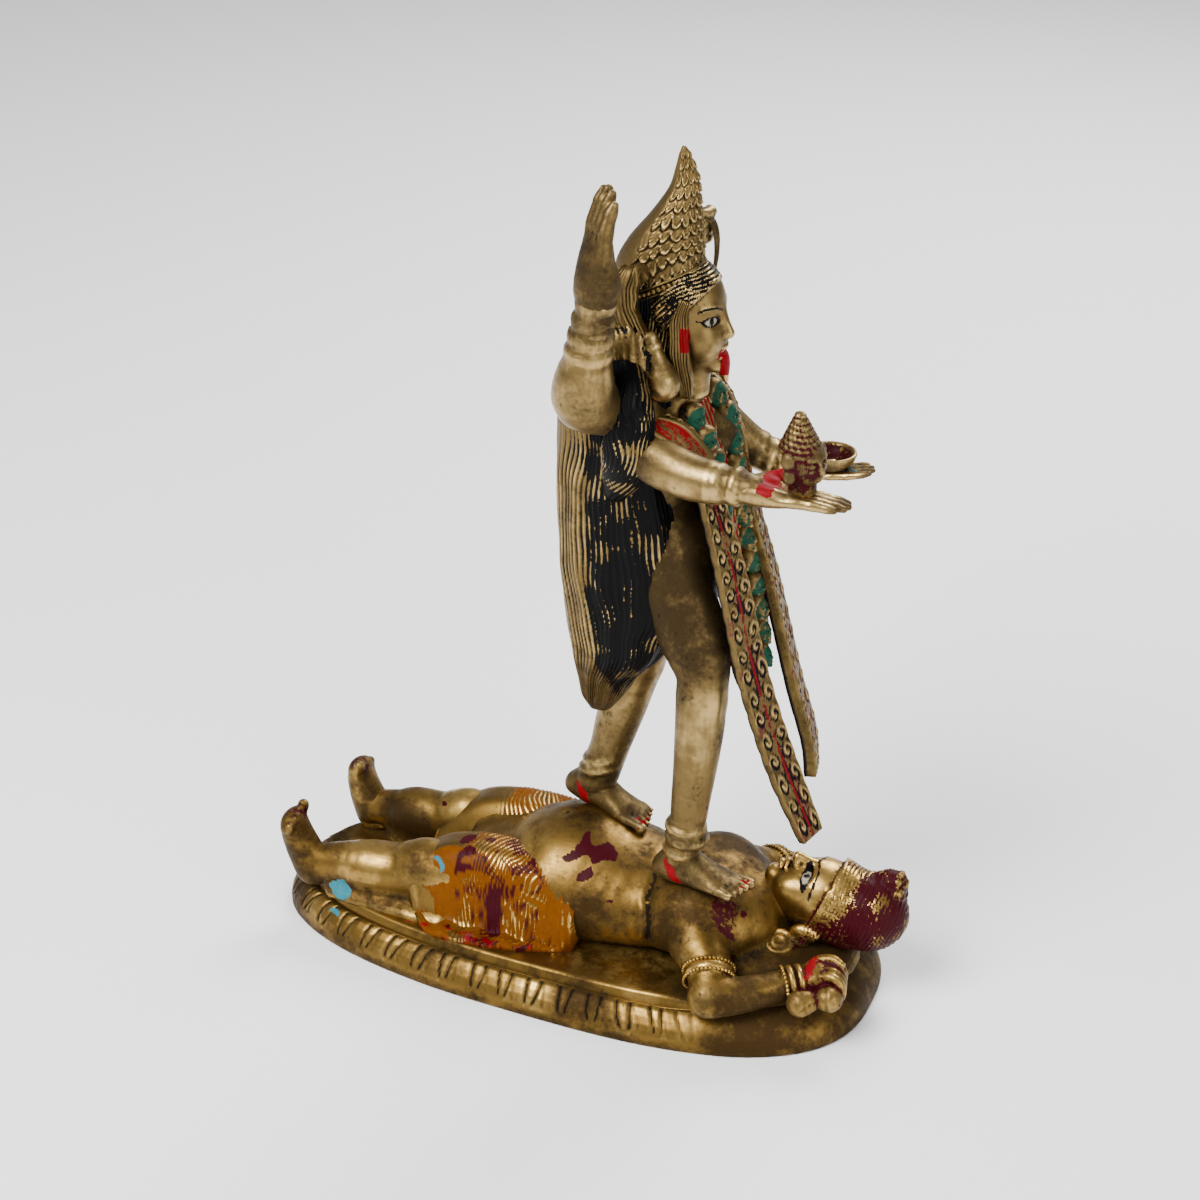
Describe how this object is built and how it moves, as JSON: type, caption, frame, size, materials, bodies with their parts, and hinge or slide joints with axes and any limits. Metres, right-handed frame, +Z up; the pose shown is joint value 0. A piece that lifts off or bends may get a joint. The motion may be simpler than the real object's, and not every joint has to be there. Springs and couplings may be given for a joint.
{
  "type": "cast brass kali figure",
  "caption": "Cast brass four-armed goddess with tall crown, garland and scarf, striding over a reclining figure on a low oval lotus plinth, with worn cold paint.",
  "frame": {"origin": "under the middle of the whole group, on the plane of the plinth's underside", "axes": "+X from the reclining figure's feet towards its head, the way the standing figure faces; +Y towards the standing figure's left; +Z up"},
  "size_m": [0.3054, 0.1426, 0.3994],
  "materials": {
    "worn_brass": "worn satin brass with brown patina in the hollows and remains of cold paint",
    "painted_brass": "worn satin brass, black paint on the hair, red and green paint on scarf and garland"
  },
  "bodies": {
    "root": {"reclining_figure_base": "worn_brass", "standing_figure": "painted_brass"}
  },
  "joints": []
}
